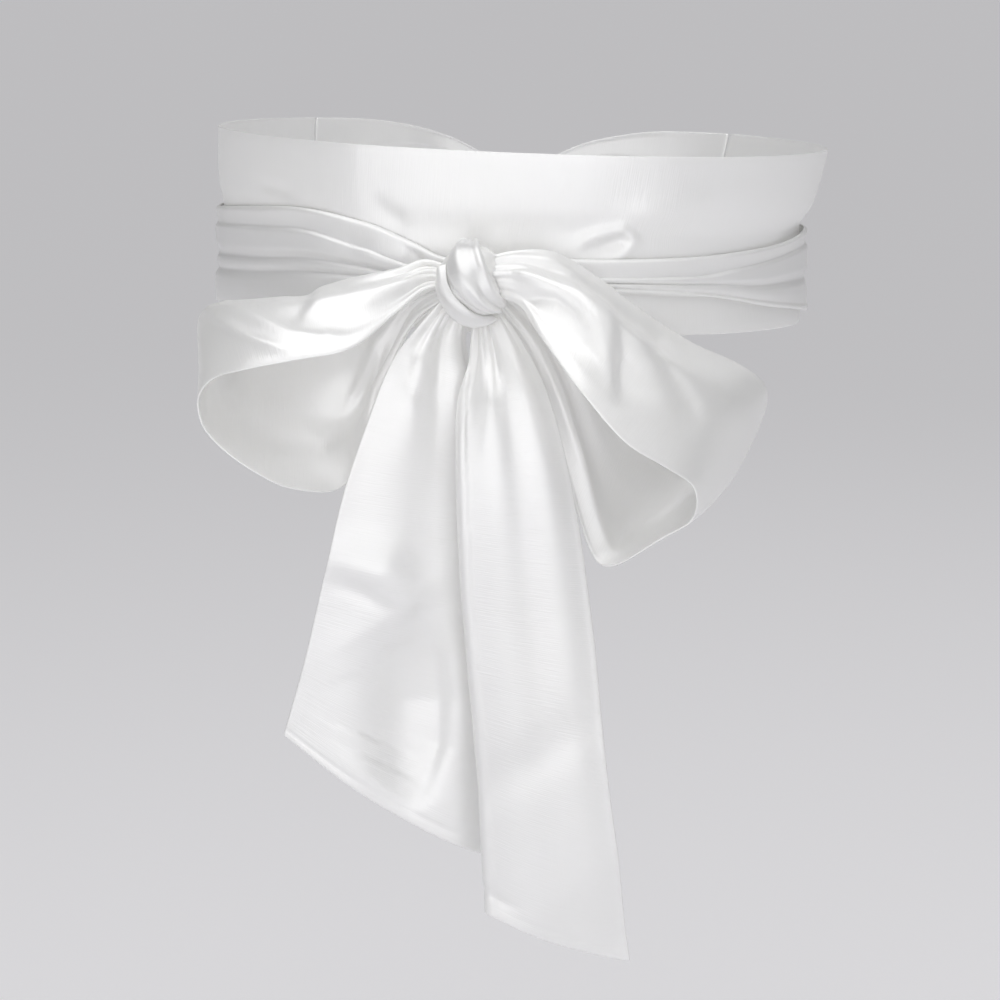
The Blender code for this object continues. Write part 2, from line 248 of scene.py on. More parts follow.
# The groove that the hem's stitching presses into the cloth
HEM_GROOVE_DEPTH = 0.3
HEM_GROOVE_WIDTH = 0.6

# The stretches wound over the knot, in degrees over its core: 90 at the top, 0 at the front
KNOT_BAND = table(
    "turn middle_x half_width",
    (128.0, -19.0, 3.4),
    (95.0, -18.4, 3.6),
    (60.0, -19.6, 5.8),
    (20.0, -18.0, 7.6),
    (-8.0, -14.5, 7.2),
    (-30.0, -9.8, 4.6),
    (-42.0, -7.6, 2.6),
)
KNOT_UNDERWRAP = table(
    "inner_x inner_turn outer_x outer_turn",
    (-26.8, 50.0, -30.2, 38.0),
    (-26.6, 22.0, -30.5, 4.0),
    (-25.6, 3.0, -29.8, -28.0),
    (-22.8, -15.0, -26.5, -52.0),
    (-18.8, -29.0, -20.0, -66.0),
    (-14.2, -42.0, -13.0, -68.0),
    (-9.5, -53.0, -7.5, -66.0),
)
# How each stretch stands off the core. gap: at its edges; crown: how much further its middle is;
# square: how flat the crown is
BAND_CROWN = {"gap": 0.6, "crown": 1.2, "square": 5}
UNDERWRAP_CROWN = {"gap": 0.5, "crown": 1.0, "square": 4}
# Lines along the band. at: share of its width; drift: how much further over it is by the end
BAND_LINES = table(
    "at drift width height",
    (0.86, 0.0, 0.07, 0.7),
    (0.70, 0.0, 0.10, -0.5),
    (0.22, 0.15, 0.12, 0.9),
)
# The small pleats where the band narrows and tucks in, from a share of its length on
BAND_PLEATS = {"start": 0.55, "growth": 0.4, "across": 3.3, "height": 1.4}
UNDERWRAP_PLEATS = {"across": 1.2, "along": 0.8, "height": 1.2}
# The core's shallow pleats, as a share of its size, and the cloth in metres for each radian
# round it and each half of its height
CORE_PLEATS = 9
CORE_PLEAT_DEPTH = 0.02
CORE_CLOTH = (0.012, 0.014)

# The cloth's unevenness: waves to each millimetre, and the length over which it fades at an end
UNEVEN_SCALE = 0.035
UNEVEN_FADE = 20.0
# How far in from its edge the ridge of an edge seam lies
EDGE_SEAM_INSET = 1.2
# The small gathers beside the knot: the length in which they start, the length in which they
# fade, how many there are across, and how fast they change along the cloth
GATHER_START = 8.0
GATHER_FADE = 26.0
GATHERS_ACROSS = 9
GATHER_DRIFT = 0.02
# What sets the noise of one end's gathers, or of one crown, apart from the next one's
GATHER_SHIFT = 7.3
CROWN_SHIFT = 3.7

# A fold is left out beyond this many of its widths, where nothing of it shows
FOLD_REACH = 5


def fold(left, right, sharp, *points):
    """A fold along a line of (x, z, height) points, seen from the front; a trough is below 0.

    left and right are its widths on the two sides, going along the line. sharp 0 is a round
    swell and 1 a pressed edge.
    """
    return {"left": left, "right": right, "sharp": sharp, "points": points}


PANEL_FOLDS = (
    fold(2, 1.6, 0.3, (23, -1, 0.4), (29, 3, 1.5), (35, 5, 1.9), (43, 6, 2.0), (48, 2, 1.8),
         (44, -3, 1.3), (37, -6, 0.4)),
    fold(1.8, 1.8, 0, (27, -3, 0), (36, 0, -1.3), (43, 3, -1.3), (46, 3, 0)),
    fold(3, 2, 0, (-107, 22, 0), (-100, 21, -0.9), (-93, 19, -1.2), (-87, 16, 0)),
    fold(3, 5, 0, (-59, 20, 0), (-54, 16, -0.7), (-47, 11, -0.9), (-41, 5, 0)),
    fold(26, 20, 0.9, (-63, 45, 0.9), (-64, 26, 0.9), (-63, 5, 0.9)),
    fold(1.5, 1.5, 0, (-18, 32, 0), (-18, 19, 0.35), (-18, 6, 0.2)),
    fold(7, 9, 0, (39, 6, 0.2), (54, 12, 1.2), (75, 16, 1.2), (96, 19, 0.6), (113, 19, 0)),
    fold(1.6, 1.6, 0, (106, -4, 0), (111, -2, -0.9), (118, 0, -1.1), (122, 4, 0)),
    fold(1.2, 1.2, 0, (105, -5, 0), (108, -4, 0.9), (113, -3, 0)),
)
LEFT_TIE_FOLDS = (
    fold(1.8, 1.8, 0, (-46, 2, 0), (-40, -3, -1.4), (-36, -8, -1.2), (-34, -12, 0)),
    fold(5, 4, 0, (-66, -3, 0), (-56, -2, 0.9), (-46, -4, 1.2), (-41, -8, 0)),
)
LEFT_LOOP_UPPER_FOLDS = (
    fold(6, 1.6, 0.2, (-42, -11, 0), (-55, -13, -0.9), (-68, -16, -1), (-77, -20, -0.4),
         (-82, -23, 0)),
    fold(3, 6, 0, (-81, -13, -0.6), (-83, -17, -2.0), (-86, -22, -1.6), (-89, -27, 0)),
    fold(4.5, 1.8, 0, (-74, -19, 0), (-75, -23, 0.9), (-73, -29, 0.9), (-68, -34, 0.2)),
    fold(6, 11, 1.0, (-126, -25, 1.2), (-112, -28, 2.4), (-103, -32, 2.6), (-87, -35, 1.8),
         (-72, -36, 0)),
    fold(1.1, 1.8, 0.4, (-126, -25, 0.7), (-112, -28, 0.9), (-103, -32, 0.8), (-87, -35, 0.3)),
)
LEFT_LOOP_LOWER_FOLDS = (
    fold(2, 2, 0.3, (-49, -28, 0), (-55, -38, 1.2), (-61, -53, 1.4), (-68, -66, 0.6)),
    fold(2, 2, 0.3, (-51, -34, 0), (-54, -44, 1.2), (-58, -61, 1.2), (-62, -72, 0.4)),
    fold(5, 9, 0, (-69, -67, 0), (-78, -78, -1.6), (-85, -86, -0.8)),
)
RIGHT_LOOP_UPPER_FOLDS = (
    fold(6, 3, 0.1, (-1, -2, 0.6), (7, -1, 1), (16, -4, 1.4), (24, -14, 1.6), (31, -24, 1.4),
         (35, -36, 1), (38, -49, 0.4)),
    fold(2, 6, 0, (-3, -19, -0.6), (2, -18, -1.4), (8, -16, -1.8), (16, -16, -1.6),
         (23, -22, -0.8), (28, -29, 0)),
    fold(12, 3.5, 0.2, (41, -20, -0.8), (42, -30, -3.0), (42, -40, -3.6), (42, -50, -2.4),
         (41, -58, 0)),
    fold(3, 6, 0, (52, -29, 0), (57, -36, -1.8), (63, -47, -2.0), (70, -59, -1.2), (74, -68, 0)),
    fold(3, 3, 0, (-4, -7, -0.8), (-1, -7, -1.2), (2, -6, 0)),
)
RIGHT_LOOP_LOWER_FOLDS = (
    fold(5, 8, 0, (34, -78, 0), (46, -92, -0.8), (58, -100, 0)),
)
LEFT_TAIL_FOLDS = (
    fold(12, 7, 0.1, (-74, -121, 0.8), (-65, -124, 2.8), (-54, -128, 3.6), (-45, -138, 2.2),
         (-40, -147, 0)),
    fold(14, 17, 0, (-57, -150, 0), (-49, -163, -3.0), (-46, -182, -4.0), (-49, -200, -3.0),
         (-58, -212, 0)),
    fold(3, 4, 0, (-72, -131, -0.4), (-62, -134, -1), (-52, -140, -1), (-44, -146, 0)),
    fold(4, 20, 0.1, (-42, -141, 0), (-36, -152, -2.0), (-32, -164, -4.0), (-30, -181, -4.8),
         (-31, -200, -4.4), (-37, -217, -2.6), (-45, -227, 0)),
    fold(4.5, 4, 0, (-45, -36, 0), (-44, -42, -0.7), (-42, -50, -1), (-38, -56, -0.8),
         (-31, -57, -0.4), (-28, -53, 0)),
)
RIGHT_TAIL_FOLDS = (
    fold(5, 3, 0, (-12, -36, 0), (-15, -53, -1), (-18, -73, -0.6), (-19, -84, 0)),
    fold(9, 9, 0, (-12, -216, -0.2), (6, -204, -0.9), (24, -192, -0.7), (33, -185, 0)),
    fold(2, 2, 0, (-11, -257, -0.8), (-4, -262, -0.8), (4, -265, 0)),
)
# The right tail's corner, tipped back to the left of a line from one point (x, z) to another.
# slope: how steeply; soft: how round the bend is
RIGHT_TAIL_TIP = {"line": ((42.0, -243.0), (4.0, -272.0)), "slope": 0.18, "soft": 1.0}

# The satin's even values, by the names of the shader's sockets
SATIN_SHEEN = {
    "IOR": 2.4,
    "Specular IOR Level": 1.0,
    "Subsurface Weight": 0.75,
    "Subsurface Radius": (1.0, 1.0, 0.95),
    "Subsurface Scale": 0.003,
    "Anisotropic": 0.5,
    "Anisotropic Rotation": 0.25,
    "Sheen Weight": 0.1,
    "Sheen Roughness": 0.4,
}
# How many slubs there are in a metre of the ribbon's length, and in a metre of its width
SLUBS = {"Scale": (1400.0, 70.0, 1.0)}
SLUB_NOISE = {"Scale": 1.0, "Detail": 3.0}
RIB_WAVE = {"Distortion": 0.6, "Detail": 1.0}
# Blender's wave texture turns by 20 radians in each metre at a scale of 1
WAVE_RADIANS = 20.0
# What is left of red, green and blue in the darker clouds of tone, their number to a metre, and
# where the shade and the full colour begin in the noise
CLOUD_SHADE = (0.965, 0.965, 0.955)
CLOUDS = {"Scale": 14.0}
CLOUD_ENDS = (0.3, 0.7)
# How far the slubs change the roughness, down and up
ROUGHNESS_RANGE = (-0.04, 0.05)
# The bumps' distances are in metres
SLUB_BUMP = {"Strength": 0.35, "Distance": 0.0002}
RIB_BUMP = {"Strength": 0.10, "Distance": 0.0001}

# The lights: the property that holds the power, then the size, place and aim in metres
LIGHTS = table(
    "name power size place target",
    ("key", "key_power", (2.55, 1.05), (-0.32, -1.45, 0.09), (-0.32, 0.0, 0.09)),
    ("top", "top_power", (1.6, 1.8), (-0.1, -0.7, 1.15), (-0.1, -0.699, 0.0)),
    ("side", "side_power", (1.0, 0.8), (1.0, -0.6, 0.75), (0.0, -0.1, -0.05)),
    ("back", "back_power", (1.4, 1.0), (0.6, 1.3, 1.0), (0.0, 0.0, 0.0)),
)
# Half of the floor's side, in metres
FLOOR_HALF = 60.0
FLOOR_ROUGHNESS = 0.8
# The camera looks down by this many degrees, through a long lens in millimetres
CAMERA_PLACE = (-0.006, -1.5767, 0.1539)
CAMERA_PITCH = 9.8
LENS = 133.96
SENSOR = 36.0


class BeltSizes(bpy.types.PropertyGroup):
    """Sizes of the sash that a maker would change."""

    cloth_thickness: bpy.props.FloatProperty(
        name="Cloth thickness", description="Thickness of the doubled satin",
        default=0.0008, min=0.0003, max=0.0015, unit="LENGTH",
    )
    panel_top: bpy.props.FloatProperty(
        name="Panel top", description="Height of the panel's upper edge over the waist's middle",
        default=0.038, unit="LENGTH",
    )
    panel_bottom: bpy.props.FloatProperty(
        name="Panel bottom", description="Height of the panel's lower edge",
        default=-0.035, unit="LENGTH",
    )
    ribbon_width: bpy.props.FloatProperty(
        name="Ribbon width", description="Width that the sash is cut to, seams left out",
        default=0.088, unit="LENGTH",
    )
    hem_depth: bpy.props.FloatProperty(
        name="Hem depth", description="Distance of the hem's stitching from each cut end",
        default=0.0045, unit="LENGTH",
    )
    unevenness: bpy.props.FloatProperty(
        name="Unevenness", description="How far the cloth wanders from an even form",
        default=0.0004, unit="LENGTH",
    )
    edge_seam: bpy.props.FloatProperty(
        name="Edge seam", description="How far the seam along each long edge stands up",
        default=0.0002, unit="LENGTH",
    )
    gather_depth: bpy.props.FloatProperty(
        name="Gather depth", description="Depth of the small gathers beside the knot",
        default=0.0024, unit="LENGTH",
    )


class SatinLook(bpy.types.PropertyGroup):
    """Colour and sheen of the satin."""

    colour: bpy.props.FloatVectorProperty(
        name="Colour", description="Colour of the satin", subtype="COLOR", size=4,
        default=(0.95, 0.945, 0.93, 1.0), min=0.0, max=1.0,
    )
    roughness: bpy.props.FloatProperty(
        name="Roughness", description="How soft the satin's shine is", default=0.35,
        min=0.05, max=1.0, subtype="FACTOR",
    )
    rib_pitch: bpy.props.FloatProperty(
        name="Rib pitch", description="Distance between the ribs of the weave",
        default=0.0008, unit="LENGTH",
    )


class StudioLook(bpy.types.PropertyGroup):
    """The floor and the lights."""

    floor_colour: bpy.props.FloatVectorProperty(
        name="Floor colour", description="Colour of the floor", subtype="COLOR", size=4,
        default=(0.57, 0.565, 0.58, 1.0), min=0.0, max=1.0,
    )
    floor_glow: bpy.props.FloatProperty(
        name="Floor glow", description="Light that the lit floor gives off, as a white sweep does",
        default=0.38, min=0.0,
    )
    floor_height: bpy.props.FloatProperty(
        name="Floor height", description="Height of the floor below the waist's middle",
        default=-0.42, unit="LENGTH",
    )
    key_power: bpy.props.FloatProperty(
        name="Key light", description="Power of the wide light in front, in watts",
        default=8.8, min=0.0,
    )
    top_power: bpy.props.FloatProperty(
        name="Top light", description="Power of the light overhead, in watts",
        default=13.5, min=0.0,
    )
    side_power: bpy.props.FloatProperty(
        name="Side light", description="Power of the light high on the right, in watts",
        default=1.2, min=0.0,
    )
    back_power: bpy.props.FloatProperty(
        name="Back light", description="Power of the light behind, in watts",
        default=2.5, min=0.0,
    )
    room_light: bpy.props.FloatProperty(
        name="Room light", description="Strength of the even light from all round",
        default=0.22, min=0.0,
    )


def blended(rows, key, places, at, smooth=True):
    """A column's value at a place between rows: an even curve, or one that never overshoots."""
    n = len(rows) - 1
    i = 0
    while i < n - 1 and at > places[i + 1]:
        i += 1
    span = places[i + 1] - places[i]
    t = min(1.0, max(0.0, (at - places[i]) / span))
    a, b = rows[i][key], rows[i + 1][key]

    def slope(j):
        if j == 0 or j == n:
            near = 1 if j == 0 else n
            return (rows[near][key] - rows[near - 1][key]) / (places[near] - places[near - 1])
        before = (rows[j][key] - rows[j - 1][key]) / (places[j] - places[j - 1])
        after = (rows[j + 1][key] - rows[j][key]) / (places[j + 1] - places[j])
        if smooth:
            return (rows[j + 1][key] - rows[j - 1][key]) / (places[j + 1] - places[j - 1])
        return 0.0 if before * after <= 0 else 2 * before * after / (before + after)

    # A cubic from one row to the next, with these slopes at its ends
    start, end = slope(i) * span, slope(i + 1) * span
    return (
        a * (2 * t**3 - 3 * t**2 + 1)
        + start * (t**3 - 2 * t**2 + t)
        + b * (3 * t**2 - 2 * t**3)
        + end * (t**3 - t**2)
    )


@lru_cache(maxsize=None)
def waist_size(key, height):
    """A size of the waist's oval at this height."""
    places = [row["height"] for row in WAIST]
    return blended(WAIST, key, places, height, smooth=False)


def waist_point(angle, height, out):
    """A point on the waist, moved out from it. Angle 0 is the front and 90 the viewer's right."""
    turn = math.radians(angle)
    height = round(height, 2)
    across = waist_size("half_width", height)
    deep = waist_size("half_front" if math.cos(turn) > 0 else "half_back", height)
    outwards = Vector((math.sin(turn) / across, -math.cos(turn) / deep, 0)).normalized()
    x = waist_size("middle_x", height) + across * math.sin(turn) + outwards.x * out
    y = -deep * math.cos(turn) + outwards.y * out
    return Vector((x, y, height - BELT_TILT * x))


def knot_point(x, turn, out):
    """A point on the knot's core at this x, moved out square to its face."""
    share = max(-1.0, min(1.0, (x - KNOT_CENTRE.x) / KNOT_HALF.x))
    round_it = math.sqrt(1 - share * share)
    a = math.radians(turn)
    unit = Vector((share, -round_it * math.cos(a), round_it * math.sin(a)))
    square = Vector([c / half for c, half in zip(unit, KNOT_HALF)]).normalized()
    return KNOT_CENTRE + unit * KNOT_HALF + square * out


def eased(t):
    """A soft rise from 0 to 1."""
    t = min(1.0, max(0.0, t))
    return t * t * (3 - 2 * t)


def swell(share, lines, swells, along):
    """Height from 0 to about 1 of the cloth that swells between the fold lines of a tie."""
    for i, (top, bottom) in enumerate(zip(lines, lines[1:])):
        if share <= bottom or i == len(swells) - 1:
            part = swells[i]
            t = (share - top) / max(0.01, bottom - top)
            up = part["start"] + (1 - part["start"]) * eased(t / part["rise"])
            down = part["end"] + (1 - part["end"]) * eased((1 - t) / part["drop"])
            change = noise.noise(Vector((along * CROWN_WAVES, i * CROWN_SHIFT, 0)))
            return part["crown"] * up * down * (1 + CROWN_CHANGE * change)
    return 0.0


def fold_lift(folds, x, z):
    """How far the folds lift the cloth at a point that is seen from the front."""
    lift = 0.0
    for one in folds:
        nearest = None
        for (x0, z0, height0), (x1, z1, height1) in zip(one["points"], one["points"][1:]):
            dx, dz = x1 - x0, z1 - z0
            t = min(1.0, max(0.0, ((x - x0) * dx + (z - z0) * dz) / (dx * dx + dz * dz)))
            off_x, off_z = x - x0 - dx * t, z - z0 - dz * t
            away = math.hypot(off_x, off_z)
            if nearest is None or away < nearest:
                nearest = away
                height = height0 + (height1 - height0) * t
                width = one["left"] if dx * off_z > dz * off_x else one["right"]
        if nearest < FOLD_REACH * width:
            lift += height * math.exp(-((nearest / width) ** (2.0 - one["sharp"])))
    return lift


def tip_lift(tip, x, z):
    """How far a corner tips back beyond its line."""
    (x0, z0), (x1, z1) = tip["line"]
    beyond = ((x1 - x0) * (z - z0) - (z1 - z0) * (x - x0)) / math.hypot(x1 - x0, z1 - z0)
    soft = tip["soft"]
    return -tip["slope"] * soft * math.log1p(math.exp(min(30.0, beyond / soft)))


def panel_place(sizes):
    """The panel, from its seam on the viewer's left round the front to the other seam."""
    top, bottom = sizes.panel_top / MM, sizes.panel_bottom / MM

    def place(u, v):
        return waist_point(SEAM_ANGLE * (2 * u - 1), top + (bottom - top) * v, 0)

    return place


def tie_place(rows, line_rows, swells, side):
    """A tie round the waist, folded along its length. Side 1 starts on the viewer's right."""
    places = [row["angle"] for row in rows]
    line_places = [row["angle"] for row in line_rows]

    @lru_cache(maxsize=None)
    def section(u):
        angle = places[0] + (places[-1] - places[0]) * u
        keys = ("top", "bottom", "lift", "fold")
        sizes = [blended(rows, key, places, angle, False) for key in keys]
        line_keys = ("step", "crease", "lower_crease")
        lines = [blended(line_rows, key, line_places, angle, False) for key in line_keys]
        return angle, sizes, [0.0] + lines + [1.0]

    def place(u, v):
        angle, (top, bottom, lift, depth), lines = section(u)
        out = lift + depth * swell(v, lines, swells, u)
        return waist_point(side * angle, top + (bottom - top) * v, out)

    return place


def edge_points(rows, name):
    """The points of one edge of a ribbon, a row each."""
    return [Vector([row[name + axis] for axis in ("_x", "_y", "_z")]) for row in rows]


def row_places(rows, first, second):
    """How far along the middle of the ribbon each row lies, from 0 to 1."""
    middle = [(a + b) / 2 for a, b in zip(edge_points(rows, first), edge_points(rows, second))]
    places = [0.0]
    for a, b in zip(middle, middle[1:]):
        places.append(places[-1] + (b - a).length)
    return [p / places[-1] for p in places]


def spot(rows, places, name, at):
    """A point on one edge of a ribbon, at a share of its length."""
    return Vector([blended(rows, name + axis, places, at) for axis in ("_x", "_y", "_z")])


def outward(rows, places, first, second, at, side):
    """The direction square to the ribbon's face there, on the side that bulges."""
    near = 0.004
    ends = [min(1.0, max(0.0, at + step)) for step in (-near, near)]
    before, after = (spot(rows, places, first, e) + spot(rows, places, second, e) for e in ends)
    width = spot(rows, places, second, at) - spot(rows, places, first, at)
    return (after - before).cross(width).normalized() * side


def creased(share, at):
    """A straight rise from 0 to 1 at the crease and a straight fall after it."""
    return share / at if share < at else (1 - share) / (1 - at)


def loop_place(rows, side):
    """A bow loop: each section runs from its back edge to its front edge, puffed and gathered.

    side is 1 for the loop on the viewer's left and -1 for the one on the right.
    """
    places = row_places(rows, "back", "front")

    @lru_cache(maxsize=None)
    def section(u):
        back, front = (spot(rows, places, name, u) for name in ("back", "front"))
        normal = outward(rows, places, "back", "front", u, side)
        puff = blended(rows, "puff", places, u)
        keys = ("fold", "crease", "crease_at")
        rest = [blended(rows, key, places, u, False) for key in keys]
        return [back, front, normal, puff] + rest

    def place(u, v):
        back, front, normal, puff, gather, crease, crease_at = section(u)
        out = puff * math.sin(math.pi * v) + gather * math.cos(2 * math.pi * LOOP_GATHERS * v)
        out += crease * creased(v, crease_at)
        return back.lerp(front, v) + normal * out

    return place


def rolled(v, width, roll):
    """Where a share v of a section lies: its share across the front, and how far behind."""
    run = (width + roll) * v - roll
    if run >= 0:
        return run / width, 0.0
    turn = -run / ROLL_RADIUS
    if turn < math.pi:
        return -ROLL_RADIUS * math.sin(turn) / width, ROLL_RADIUS * (1 - math.cos(turn))
    return (-run - math.pi * ROLL_RADIUS) / width, 2 * ROLL_RADIUS


def tail_place(rows, sag_depth):
    """A hanging tail: sections run from its left edge to its right edge, down to the cut end."""
    places = row_places(rows, "left", "right")

    @lru_cache(maxsize=None)
    def section(u):
        left, right = (spot(rows, places, name, u) for name in ("left", "right"))
        normal = outward(rows, places, "left", "right", u, 1)
        puff = blended(rows, "puff", places, u)
        gather = blended(rows, "fold", places, u, False)
        roll = max(0.0, blended(rows, "roll", places, u, False))
        return left, right, normal, puff, gather, roll

    def place(u, v):
        left, right, normal, puff, gather, roll = section(u)
        across, behind = rolled(v, (right - left).length, roll)
        shown = min(1.0, max(0.0, across))
        depth = gather if behind == 0 else gather * ROLLED_GATHERS
        wave = depth * math.cos(2 * math.pi * TAIL_GATHERS * shown + math.pi)
        out = puff * math.sin(math.pi * shown) + wave - behind
        sag = sag_depth * math.sin(math.pi * shown) * u**3
        return left + (right - left) * across + normal * out - Vector((0, 0, sag))

    return place


def crowned(shape, v):
    """How far a wound stretch stands off the core, from its edges to its middle."""
    return shape["gap"] + shape["crown"] * (1 - abs(2 * v - 1) ** shape["square"])


def band_place(u, v):
    """The stretch wound over the knot's front, down to where it tucks in."""
    places = [KNOT_BAND[0]["turn"] - row["turn"] for row in KNOT_BAND]
    at = places[-1] * u
    middle, half = (blended(KNOT_BAND, key, places, at) for key in ("middle_x", "half_width"))
    out = crowned(BAND_CROWN, v)
    for line in BAND_LINES:
        away = (v - line["at"] - line["drift"] * u) / line["width"]
        out += line["height"] * math.exp(-(away**2))
    pleats = 0.5 - 0.5 * math.cos(math.tau * BAND_PLEATS["across"] * v)
    tuck = eased((u - BAND_PLEATS["start"]) / BAND_PLEATS["growth"])
    out += BAND_PLEATS["height"] * tuck * pleats * math.sin(math.pi * v)
    return knot_point(middle + half * (2 * v - 1), KNOT_BAND[0]["turn"] - at, out)


def underwrap_place(u, v):
    """The stretch beside and below the band, from its left down to where both tuck in."""
    places = [i / (len(KNOT_UNDERWRAP) - 1) for i in range(len(KNOT_UNDERWRAP))]
    inner_x, inner_turn, outer_x, outer_turn = (
        blended(KNOT_UNDERWRAP, key, places, u) for key in KNOT_UNDERWRAP[0]
    )
    turns = UNDERWRAP_PLEATS["across"] * v + UNDERWRAP_PLEATS["along"] * u
    pleats = 0.5 - 0.5 * math.cos(math.tau * turns)
    out = crowned(UNDERWRAP_CROWN, v)
    out += UNDERWRAP_PLEATS["height"] * pleats * math.sin(math.pi * v)
    x = inner_x + (outer_x - inner_x) * v
    return knot_point(x, inner_turn + (outer_turn - inner_turn) * v, out)


def put(name, bm, material):
    """A finished mesh in the scene, riding on the belt's one body."""
    mesh = bpy.data.meshes.new(name)
    bm.to_mesh(mesh)
    bm.free()
    mesh.materials.append(material)
    mesh.shade_smooth()
    obj = bpy.data.objects.new(name, mesh)
    bpy.context.scene.collection.objects.link(obj)
    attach(obj, "root")
    return obj


def grid_shares(bm, dense):
    """Each vertex of a grid with its shares of the ribbon's length and width.

    dense is how far the grid crowds towards the middle of the length, and to the long edges.
    """
    shares = {}
    for vertex in bm.verts:
        u, v = vertex.co.x + 0.5, vertex.co.y + 0.5
        u += dense[0] * math.sin(math.tau * u) / math.tau
        v -= dense[1] * math.sin(math.tau * v) / math.tau
        shares[vertex] = (min(1.0, max(0.0, round(u, 5))), min(1.0, max(0.0, round(v, 5))))
    return shares


def small_lift(sizes, u, v, at, length, width, knots):
    """How far the unevenness, the edge seams and the gathers lift the cloth at a point."""
    to_end = min(u, 1 - u) * length
    to_edge = min(v, 1 - v) * width
    wander = min(1.0, to_end / UNEVEN_FADE) * noise.noise(at * UNEVEN_SCALE)
    lift = sizes.unevenness / MM * wander
    lift += sizes.edge_seam / MM * math.exp(-((to_edge - EDGE_SEAM_INSET) ** 2))
    for knot in knots:
        away = abs(u - knot) * length
        pull = min(1.0, away / GATHER_START) * math.exp(-away / GATHER_FADE)
        where = Vector((v * GATHERS_ACROSS, away * GATHER_DRIFT, knot * GATHER_SHIFT))
        lift += sizes.gather_depth / MM * pull * noise.noise(where)
    return lift


def cloth(name, grid, place, folds=None, *, length, width=None, knots=(), dense=(0, 0)):
    """Satin over a grid that place(u, v) puts in millimetres, with folds, a wall and edge seams.

    grid is the number of faces along the ribbon and across it. folds(u, v, at) gives a height in
    millimetres along the grid's normal. length and width are the cloth's, in metres. knots lists
    the ends, 0 or 1, that are gathered into the knot. dense is as in grid_shares.
    """
    sizes = bpy.context.scene.belt_sizes
    width = width or sizes.ribbon_width
    bm = bmesh.new()
    uv = bm.loops.layers.uv.new("cloth")
    bmesh.ops.create_grid(bm, x_segments=grid[0], y_segments=grid[1], size=0.5)
    shares = grid_shares(bm, dense)
    for face in bm.faces:
        for loop in face.loops:
            u, v = shares[loop.vert]
            loop[uv].uv = (u * length, v * width)
    for vertex, (u, v) in shares.items():
        vertex.co = place(u, v)
    bm.normal_update()
    moves = {}
    for vertex, (u, v) in shares.items():
        lift = small_lift(sizes, u, v, vertex.co, length / MM, width / MM, knots)
        if folds:
            lift += folds(u, v, vertex.co)
        moves[vertex] = vertex.normal * lift
    for vertex, move in moves.items():
        vertex.co = (vertex.co + move) * MM
    obj = put(name, bm, bpy.data.materials[SATIN])
    wall = obj.modifiers.new("wall", "SOLIDIFY")
    wall.thickness = sizes.cloth_thickness
    wall.offset = 0
    rounding = obj.modifiers.new("rounding", "SUBSURF")
    rounding.levels = rounding.render_levels = 1
    return obj


def front_folds(rows):
    """Folds on the front half of what goes round the waist, whose grid's normals point inwards."""
    return lambda u, v, at: -fold_lift(rows, at.x, at.z) if at.y < 0 else 0.0


def loop_folds(upper, lower, sign):
    """Folds of a loop. The upper strand shows its outer face and the lower one its inner face.

    sign is 1 where the grid's normals point out of the loop, and -1 where they point into it.
    """

    def folds(u, v, at):
        if u < UPPER_STRAND_END:
            return sign * fold_lift(upper, at.x, at.z)
        return -sign * fold_lift(lower, at.x, at.z) if u > LOWER_STRAND_START else 0.0

    return folds


def hem_line(u, length, hem):
    """The groove of the stitching at a cut end, for a tail of this length in metres."""
    away = ((1 - u) * length - hem) / (HEM_GROOVE_WIDTH * MM)
    return -HEM_GROOVE_DEPTH * math.exp(-(away**2))


def set_sockets(made, values):
    """Set a node's input sockets, by their names."""
    for socket, value in values.items():
        made.inputs[socket].default_value = value


def node(tree, kind, sockets=None, **settings):
    """A new node in a material, with its sockets and settings."""
    made = tree.nodes.new(kind)
    for key, value in settings.items():
        setattr(made, key, value)
    set_sockets(made, sockets or {})
    return made


def bump(tree, sockets, height, below=None):
    """A bump from a texture's factor, over the one below it."""
    made = node(tree, "ShaderNodeBump", sockets)
    tree.links.new(height.outputs["Fac"], made.inputs["Height"])
    if below:
        tree.links.new(below.outputs[0], made.inputs["Normal"])
    return made


def woven_textures(tree, rib_pitch):
    """The long slubs and the fine ribs, which both run across the ribbon."""
    uv = node(tree, "ShaderNodeUVMap", uv_map="cloth")
    place = node(tree, "ShaderNodeMapping", SLUBS)
    tree.links.new(uv.outputs[0], place.inputs["Vector"])
    slubs = node(tree, "ShaderNodeTexNoise", SLUB_NOISE, noise_dimensions="2D")
    tree.links.new(place.outputs[0], slubs.inputs["Vector"])
    rib = node(tree, "ShaderNodeTexWave", RIB_WAVE, wave_type="BANDS", bands_direction="X")
    rib.inputs["Scale"].default_value = math.tau / (WAVE_RADIANS * rib_pitch)
    tree.links.new(uv.outputs[0], rib.inputs["Vector"])
    return slubs, rib


def tone_clouds(tree, colour):
    """The satin's colour, a little darker in soft clouds."""
    clouds = node(tree, "ShaderNodeTexNoise", CLOUDS, noise_dimensions="3D")
    where = node(tree, "ShaderNodeTexCoord")
    tree.links.new(where.outputs["Object"], clouds.inputs["Vector"])
    made = node(tree, "ShaderNodeValToRGB")
    r, g, b, a = colour
    dark, light = made.color_ramp.elements
    dark.position, light.position = CLOUD_ENDS
    dark.color = (r * CLOUD_SHADE[0], g * CLOUD_SHADE[1], b * CLOUD_SHADE[2], a)
    light.color = (r, g, b, a)
    tree.links.new(clouds.outputs["Fac"], made.inputs[0])
    return made


